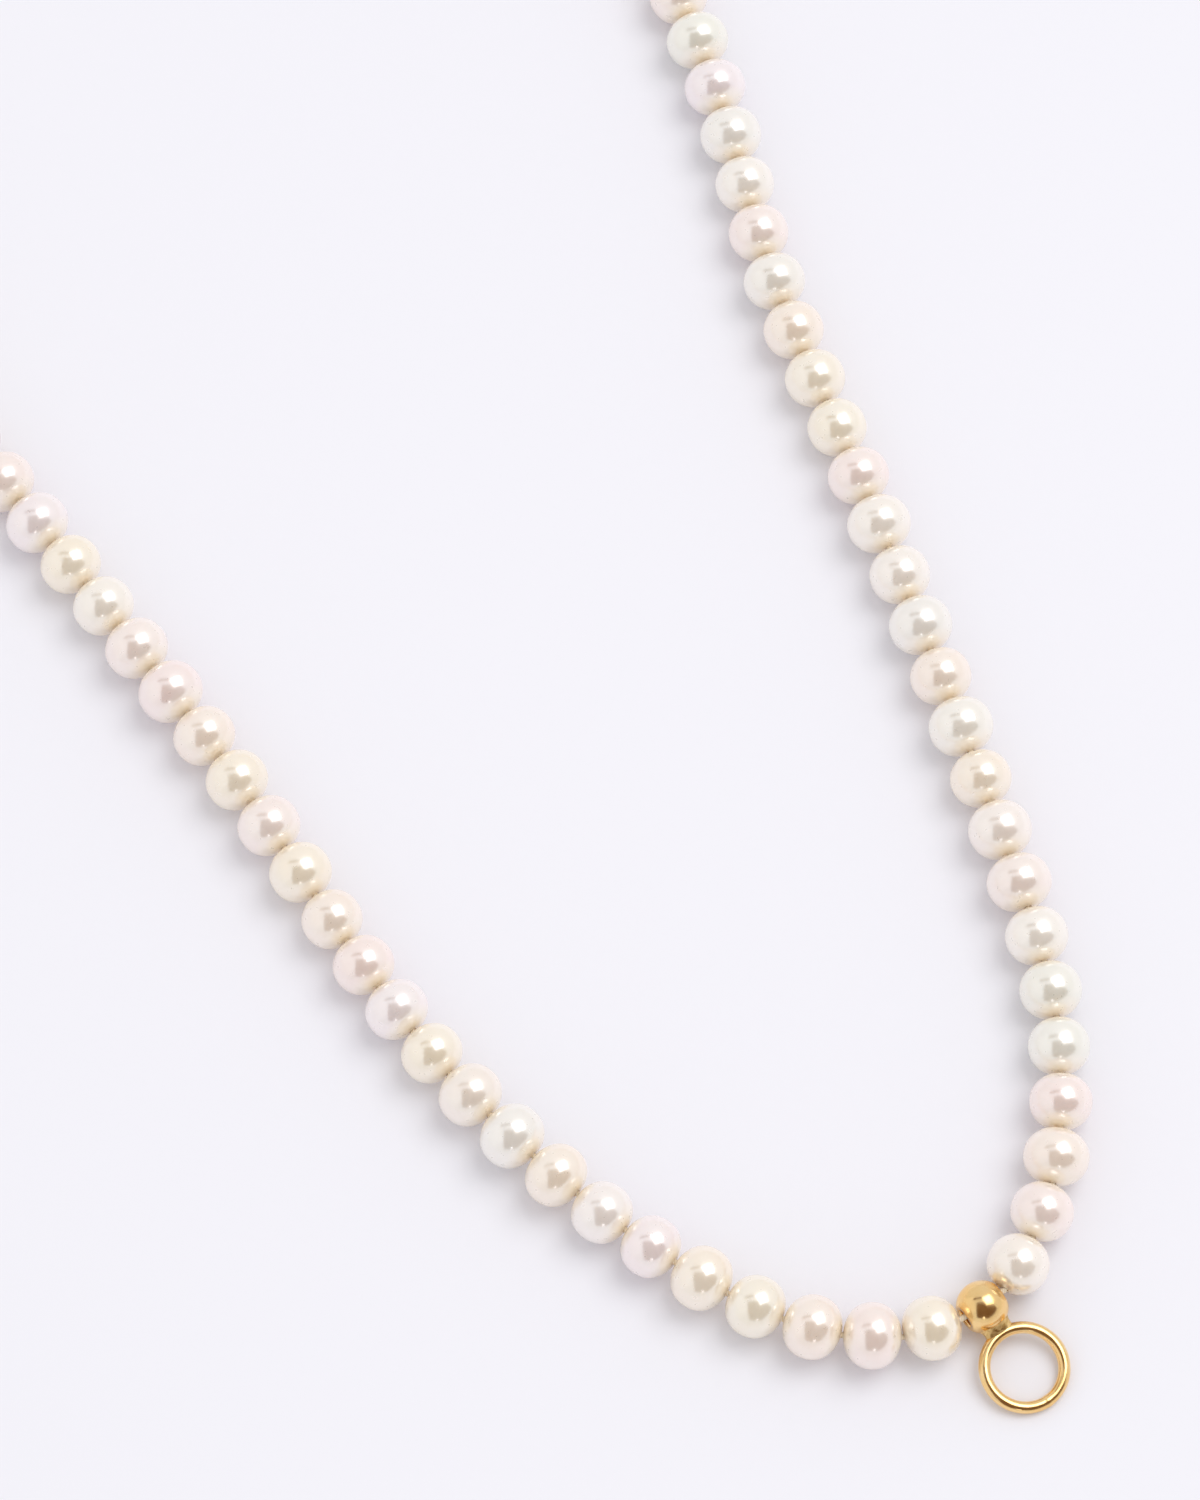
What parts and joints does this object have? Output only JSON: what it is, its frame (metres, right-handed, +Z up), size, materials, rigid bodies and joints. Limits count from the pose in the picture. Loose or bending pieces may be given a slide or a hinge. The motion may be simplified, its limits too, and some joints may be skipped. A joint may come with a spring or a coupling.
{
  "type": "pearl necklace",
  "caption": "Open strand of near-round white pearls on one thread, with a gold ball-and-ring charm bail between its two legs and a lobster clasp and ring at its ends.",
  "frame": {"origin": "on the table under the middle of the laid-out necklace's box", "axes": "+Z up from the table, +Y from the bail up between the two legs towards the clasp ends, +X to the right of the legs seen from above"},
  "size_m": [0.1172, 0.1886, 0.0047],
  "materials": {
    "pearl_nacre": "gloss",
    "gold": "polished",
    "silk_thread": "matte",
    "spring_steel": "satin"
  },
  "bodies": {
    "strand_middle": {"bead_thread": "silk_thread", "left_pearls_01": "pearl_nacre"},
    "bail": {"bail_bead": "gold", "bail_neck": "gold", "bail_ring": "gold"},
    "left_pearls_02": {"left_pearls_02": "pearl_nacre"},
    "left_pearls_03": {"left_pearls_03": "pearl_nacre"},
    "left_pearls_04": {"left_pearls_04": "pearl_nacre"},
    "left_pearls_05": {"left_pearls_05": "pearl_nacre"},
    "left_pearls_06": {"left_pearls_06": "pearl_nacre"},
    "left_pearls_07": {"left_pearls_07": "pearl_nacre"},
    "left_pearls_08": {"left_pearls_08": "pearl_nacre"},
    "left_pearls_09": {"left_pearls_09": "pearl_nacre"},
    "left_pearls_10": {"left_pearls_10": "pearl_nacre"},
    "left_pearls_11": {"left_pearls_11": "pearl_nacre"},
    "left_pearls_12": {"left_pearls_12": "pearl_nacre"},
    "left_pearls_13": {"left_pearls_13": "pearl_nacre"},
    "left_pearls_14": {"left_pearls_14": "pearl_nacre"},
    "left_pearls_15": {"left_pearls_15": "pearl_nacre"},
    "left_pearls_16": {"left_pearls_16": "pearl_nacre"},
    "left_pearls_17": {"left_pearls_17": "pearl_nacre"},
    "left_pearls_18": {"left_pearls_18": "pearl_nacre"},
    "left_pearls_19": {"left_pearls_19": "pearl_nacre"},
    "left_pearls_20": {"left_pearls_20": "pearl_nacre"},
    "left_pearls_21": {"left_pearls_21": "pearl_nacre"},
    "left_pearls_22": {"left_pearls_22": "pearl_nacre"},
    "right_pearls_01": {"right_pearls_01": "pearl_nacre"},
    "right_pearls_02": {"right_pearls_02": "pearl_nacre"},
    "right_pearls_03": {"right_pearls_03": "pearl_nacre"},
    "right_pearls_04": {"right_pearls_04": "pearl_nacre"},
    "right_pearls_05": {"right_pearls_05": "pearl_nacre"},
    "right_pearls_06": {"right_pearls_06": "pearl_nacre"},
    "right_pearls_07": {"right_pearls_07": "pearl_nacre"},
    "right_pearls_08": {"right_pearls_08": "pearl_nacre"},
    "right_pearls_09": {"right_pearls_09": "pearl_nacre"},
    "right_pearls_10": {"right_pearls_10": "pearl_nacre"},
    "right_pearls_11": {"right_pearls_11": "pearl_nacre"},
    "right_pearls_12": {"right_pearls_12": "pearl_nacre"},
    "right_pearls_13": {"right_pearls_13": "pearl_nacre"},
    "right_pearls_14": {"right_pearls_14": "pearl_nacre"},
    "right_pearls_15": {"right_pearls_15": "pearl_nacre"},
    "right_pearls_16": {"right_pearls_16": "pearl_nacre"},
    "right_pearls_17": {"right_pearls_17": "pearl_nacre"},
    "right_pearls_18": {"right_pearls_18": "pearl_nacre"},
    "right_pearls_19": {"right_pearls_19": "pearl_nacre"},
    "right_pearls_20": {"right_pearls_20": "pearl_nacre"},
    "right_pearls_21": {"right_pearls_21": "pearl_nacre"},
    "right_pearls_22": {"right_pearls_22": "pearl_nacre"},
    "left_tip": {"left_bead_tip": "gold", "left_thread_knot": "silk_thread"},
    "jump_ring": {"clasp_jump_ring": "gold"},
    "clasp": {"clasp_body": "gold", "clasp_pin": "gold", "clasp_spring": "spring_steel"},
    "trigger": {"clasp_trigger": "gold"},
    "right_tip": {"right_bead_tip": "gold", "right_thread_knot": "silk_thread"},
    "end_ring": {"end_ring": "gold"}
  },
  "joints": [
    {"name": "bail_turn", "type": "hinge", "parent": "strand_middle", "child": "bail", "pos_m": [0.05066, -0.08709, 0.00182], "axis": [0.8192, 0.5736, 0], "continuous": true},
    {"name": "clasp_trigger_press", "type": "hinge", "parent": "clasp", "child": "trigger", "pos_m": [-0.05644, 0.06045, 0.00115], "axis": [0, 0, 1], "range_deg": [-30, 0], "stiffness_Nm_per_rad": 0.005, "springref_deg": 9.74},
    {"name": "clasp_swing", "type": "hinge", "parent": "jump_ring", "child": "clasp", "pos_m": [-0.0548, 0.05761, 0.00115], "axis": [0, 0, 1], "range_deg": [-40, 40]},
    {"name": "jump_ring_swing", "type": "hinge", "parent": "left_tip", "child": "jump_ring", "pos_m": [-0.05445, 0.05579, 0.00076], "axis": [0, 0, 1], "range_deg": [-45, 45]},
    {"name": "end_ring_swing", "type": "hinge", "parent": "right_tip", "child": "end_ring", "pos_m": [-0.00088, 0.09046, 0.00076], "axis": [-0.0462, 0.1552, 0.9868], "range_deg": [-45, 45]},
    {"name": "left_tip_bend", "type": "hinge", "parent": "left_pearls_22", "child": "left_tip", "pos_m": [-0.0536, 0.05129, 0.00225], "axis": [0, 0, 1], "range_deg": [-20, 20]},
    {"name": "right_tip_bend", "type": "hinge", "parent": "right_pearls_22", "child": "right_tip", "pos_m": [0.00043, 0.08607, 0.00225], "axis": [0, 0, 1], "range_deg": [-20, 20]},
    {"name": "bail_side_bend", "type": "hinge", "parent": "strand_middle", "child": "right_pearls_01", "pos_m": [0.05217, -0.08604, 0.00225], "axis": [0, 0, -1], "range_deg": [-3, 47], "deforming": ["bead_thread"]},
    {"name": "left_bend_02", "type": "hinge", "parent": "strand_middle", "child": "left_pearls_02", "pos_m": [0.04104, -0.08927, 0.00225], "axis": [0, 0, 1], "range_deg": [-5.6, 34.4]},
    {"name": "right_bend_02", "type": "hinge", "parent": "right_pearls_01", "child": "right_pearls_02", "pos_m": [0.05564, -0.07846, 0.00225], "axis": [0, 0, 1], "range_deg": [-31.5, 8.5]},
    {"name": "left_bend_03", "type": "hinge", "parent": "left_pearls_02", "child": "left_pearls_03", "pos_m": [0.0333, -0.0863, 0.00225], "axis": [0, 0, 1], "range_deg": [-13.9, 26.1]},
    {"name": "right_bend_03", "type": "hinge", "parent": "right_pearls_02", "child": "right_pearls_03", "pos_m": [0.05651, -0.07034, 0.00225], "axis": [0, 0, 1], "range_deg": [-25.8, 14.2]},
    {"name": "left_bend_04", "type": "hinge", "parent": "left_pearls_03", "child": "left_pearls_04", "pos_m": [0.02635, -0.08173, 0.00225], "axis": [0, 0, 1], "range_deg": [-16.5, 23.5]},
    {"name": "right_bend_04", "type": "hinge", "parent": "right_pearls_03", "child": "right_pearls_04", "pos_m": [0.05559, -0.06207, 0.00225], "axis": [0, 0, 1], "range_deg": [-25.2, 14.8]},
    {"name": "left_bend_05", "type": "hinge", "parent": "left_pearls_04", "child": "left_pearls_05", "pos_m": [0.02003, -0.07641, 0.00225], "axis": [0, 0, 1], "range_deg": [-17.2, 22.8]},
    {"name": "right_bend_05", "type": "hinge", "parent": "right_pearls_04", "child": "right_pearls_05", "pos_m": [0.05333, -0.0541, 0.00225], "axis": [0, 0, 1], "range_deg": [-20.5, 19.5]},
    {"name": "left_bend_06", "type": "hinge", "parent": "left_pearls_05", "child": "left_pearls_06", "pos_m": [0.01418, -0.07035, 0.00225], "axis": [0, 0, -1], "range_deg": [-23.3, 16.7]},
    {"name": "right_bend_06", "type": "hinge", "parent": "right_pearls_05", "child": "right_pearls_06", "pos_m": [0.05079, -0.04619, 0.00225], "axis": [0, 0, -1], "range_deg": [-19.3, 20.7]},
    {"name": "left_bend_07", "type": "hinge", "parent": "left_pearls_06", "child": "left_pearls_07", "pos_m": [0.00922, -0.06394, 0.00225], "axis": [0, 0, -1], "range_deg": [-22.2, 17.8]},
    {"name": "right_bend_07", "type": "hinge", "parent": "right_pearls_06", "child": "right_pearls_07", "pos_m": [0.0481, -0.03834, 0.00225], "axis": [0, 0, -1], "range_deg": [-19.9, 20.1]},
    {"name": "left_bend_08", "type": "hinge", "parent": "left_pearls_07", "child": "left_pearls_08", "pos_m": [0.00468, -0.05706, 0.00225], "axis": [0, 0, -1], "range_deg": [-20.2, 19.8]},
    {"name": "right_bend_08", "type": "hinge", "parent": "right_pearls_07", "child": "right_pearls_08", "pos_m": [0.04529, -0.03034, 0.00225], "axis": [0, 0, -1], "range_deg": [-19.6, 20.4]},
    {"name": "left_bend_09", "type": "hinge", "parent": "left_pearls_08", "child": "left_pearls_09", "pos_m": [0.00012, -0.05001, 0.00225], "axis": [0, 0, -1], "range_deg": [-18.7, 21.3]},
    {"name": "right_bend_09", "type": "hinge", "parent": "right_pearls_08", "child": "right_pearls_09", "pos_m": [0.04245, -0.0226, 0.00225], "axis": [0, 0, -1], "range_deg": [-19.3, 20.7]},
    {"name": "left_bend_10", "type": "hinge", "parent": "left_pearls_09", "child": "left_pearls_10", "pos_m": [-0.00464, -0.04323, 0.00225], "axis": [0, 0, -1], "range_deg": [-19.3, 20.7]},
    {"name": "right_bend_10", "type": "hinge", "parent": "right_pearls_09", "child": "right_pearls_10", "pos_m": [0.03937, -0.01475, 0.00225], "axis": [0, 0, -1], "range_deg": [-20.9, 19.1]},
    {"name": "left_bend_11", "type": "hinge", "parent": "left_pearls_10", "child": "left_pearls_11", "pos_m": [-0.00966, -0.03644, 0.00225], "axis": [0, 0, 1], "range_deg": [-20.1, 19.9]},
    {"name": "right_bend_11", "type": "hinge", "parent": "right_pearls_10", "child": "right_pearls_11", "pos_m": [0.03667, -0.00688, 0.00225], "axis": [0, 0, 1], "range_deg": [-16.6, 23.4]},
    {"name": "left_bend_12", "type": "hinge", "parent": "left_pearls_11", "child": "left_pearls_12", "pos_m": [-0.01455, -0.02991, 0.00225], "axis": [0, 0, 1], "range_deg": [-20.9, 19.1]},
    {"name": "right_bend_12", "type": "hinge", "parent": "right_pearls_11", "child": "right_pearls_12", "pos_m": [0.03472, 0.00117, 0.00225], "axis": [0, 0, 1], "range_deg": [-21.3, 18.7]},
    {"name": "left_bend_13", "type": "hinge", "parent": "left_pearls_12", "child": "left_pearls_13", "pos_m": [-0.01967, -0.02343, 0.00225], "axis": [0, 0, 1], "range_deg": [-19.8, 20.2]},
    {"name": "right_bend_13", "type": "hinge", "parent": "right_pearls_12", "child": "right_pearls_13", "pos_m": [0.03246, 0.00919, 0.00225], "axis": [0, 0, 1], "range_deg": [-22.3, 17.7]},
    {"name": "left_bend_14", "type": "hinge", "parent": "left_pearls_13", "child": "left_pearls_14", "pos_m": [-0.02477, -0.01686, 0.00225], "axis": [0, 0, 1], "range_deg": [-18.4, 21.6]},
    {"name": "right_bend_14", "type": "hinge", "parent": "right_pearls_13", "child": "right_pearls_14", "pos_m": [0.02969, 0.0169, 0.00225], "axis": [0, 0, 1], "range_deg": [-20.2, 19.8]},
    {"name": "left_bend_15", "type": "hinge", "parent": "left_pearls_14", "child": "left_pearls_15", "pos_m": [-0.02949, -0.01007, 0.00225], "axis": [0, 0, 1], "range_deg": [-18.3, 21.7]},
    {"name": "right_bend_15", "type": "hinge", "parent": "right_pearls_14", "child": "right_pearls_15", "pos_m": [0.02681, 0.02456, 0.00225], "axis": [0, 0, 1], "range_deg": [-20.9, 19.1]},
    {"name": "left_bend_16", "type": "hinge", "parent": "left_pearls_15", "child": "left_pearls_16", "pos_m": [-0.03381, -0.00301, 0.00225], "axis": [0, 0, -1], "range_deg": [-21.4, 18.6]},
    {"name": "right_bend_16", "type": "hinge", "parent": "right_pearls_15", "child": "right_pearls_16", "pos_m": [0.02366, 0.03224, 0.00225], "axis": [0, 0, -1], "range_deg": [-18.7, 21.3]},
    {"name": "left_bend_17", "type": "hinge", "parent": "left_pearls_16", "child": "left_pearls_17", "pos_m": [-0.03778, 0.0043, 0.00225], "axis": [0, 0, -1], "range_deg": [-21.5, 18.5]},
    {"name": "right_bend_17", "type": "hinge", "parent": "right_pearls_16", "child": "right_pearls_17", "pos_m": [0.02017, 0.03983, 0.00225], "axis": [0, 0, -1], "range_deg": [-19.1, 20.9]},
    {"name": "left_bend_18", "type": "hinge", "parent": "left_pearls_17", "child": "left_pearls_18", "pos_m": [-0.04129, 0.01166, 0.00225], "axis": [0, 0, -1], "range_deg": [-21.6, 18.4]},
    {"name": "right_bend_18", "type": "hinge", "parent": "right_pearls_17", "child": "right_pearls_18", "pos_m": [0.01647, 0.04725, 0.00225], "axis": [0, 0, -1], "range_deg": [-19.7, 20.3]},
    {"name": "left_bend_19", "type": "hinge", "parent": "left_pearls_18", "child": "left_pearls_19", "pos_m": [-0.04443, 0.01927, 0.00225], "axis": [0, 0, -1], "range_deg": [-21.4, 18.6]},
    {"name": "right_bend_19", "type": "hinge", "parent": "right_pearls_18", "child": "right_pearls_19", "pos_m": [0.01266, 0.05475, 0.00225], "axis": [0, 0, -1], "range_deg": [-20.8, 19.2]},
    {"name": "left_bend_20", "type": "hinge", "parent": "left_pearls_19", "child": "left_pearls_20", "pos_m": [-0.04726, 0.02715, 0.00225], "axis": [0, 0, -1], "range_deg": [-21, 19]},
    {"name": "right_bend_20", "type": "hinge", "parent": "right_pearls_19", "child": "right_pearls_20", "pos_m": [0.00903, 0.06238, 0.00225], "axis": [0, 0, -1], "range_deg": [-21.4, 18.6]},
    {"name": "left_bend_21", "type": "hinge", "parent": "left_pearls_20", "child": "left_pearls_21", "pos_m": [-0.04974, 0.035, 0.00225], "axis": [0, 0, 1], "range_deg": [-18.7, 21.3]},
    {"name": "right_bend_21", "type": "hinge", "parent": "right_pearls_20", "child": "right_pearls_21", "pos_m": [0.0058, 0.07012, 0.00225], "axis": [0, 0, 1], "range_deg": [-18.7, 21.3]},
    {"name": "left_bend_22", "type": "hinge", "parent": "left_pearls_21", "child": "left_pearls_22", "pos_m": [-0.05193, 0.04315, 0.00225], "axis": [0, 0, 1], "range_deg": [-18.3, 21.7]},
    {"name": "right_bend_22", "type": "hinge", "parent": "right_pearls_21", "child": "right_pearls_22", "pos_m": [0.00293, 0.07804, 0.00225], "axis": [0, 0, 1], "range_deg": [-18.7, 21.3]}
  ]
}
